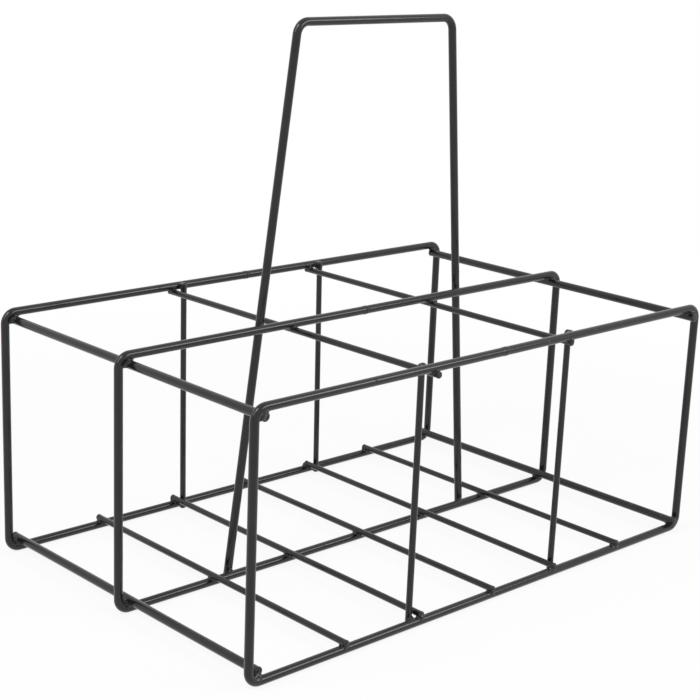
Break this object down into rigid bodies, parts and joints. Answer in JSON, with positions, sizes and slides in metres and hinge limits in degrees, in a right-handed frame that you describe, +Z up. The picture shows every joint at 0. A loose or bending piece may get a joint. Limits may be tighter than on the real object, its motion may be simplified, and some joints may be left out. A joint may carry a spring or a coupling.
{
  "type": "bottle caddy",
  "caption": "Open welded wire caddy that carries bottles upright in two rows of cells by a tall fixed handle.",
  "frame": {"origin": "centre of the basket's outline on the surface that the caddy stands on", "axes": "+X along the basket's long side, +Y from the front row of cells to the back row, +Z up"},
  "size_m": [0.32, 0.2078, 0.284],
  "materials": {
    "powder_coat": "satin"
  },
  "bodies": {
    "root": {"front_hoop": "powder_coat", "middle_hoop": "powder_coat", "back_hoop": "powder_coat", "hoop_seam_welds": "powder_coat", "top_left_crossbar": "powder_coat", "top_right_crossbar": "powder_coat", "bottom_left_crossbar": "powder_coat", "bottom_right_crossbar": "powder_coat", "floor_wire_1": "powder_coat", "floor_wire_2": "powder_coat", "floor_wire_3": "powder_coat", "floor_wire_4": "powder_coat", "floor_wire_5": "powder_coat", "left_divider": "powder_coat", "right_divider": "powder_coat", "front_left_upright": "powder_coat", "front_right_upright": "powder_coat", "back_left_upright": "powder_coat", "back_right_upright": "powder_coat", "handle": "powder_coat", "crossbar_welds": "powder_coat", "handle_welds": "powder_coat"}
  },
  "joints": []
}
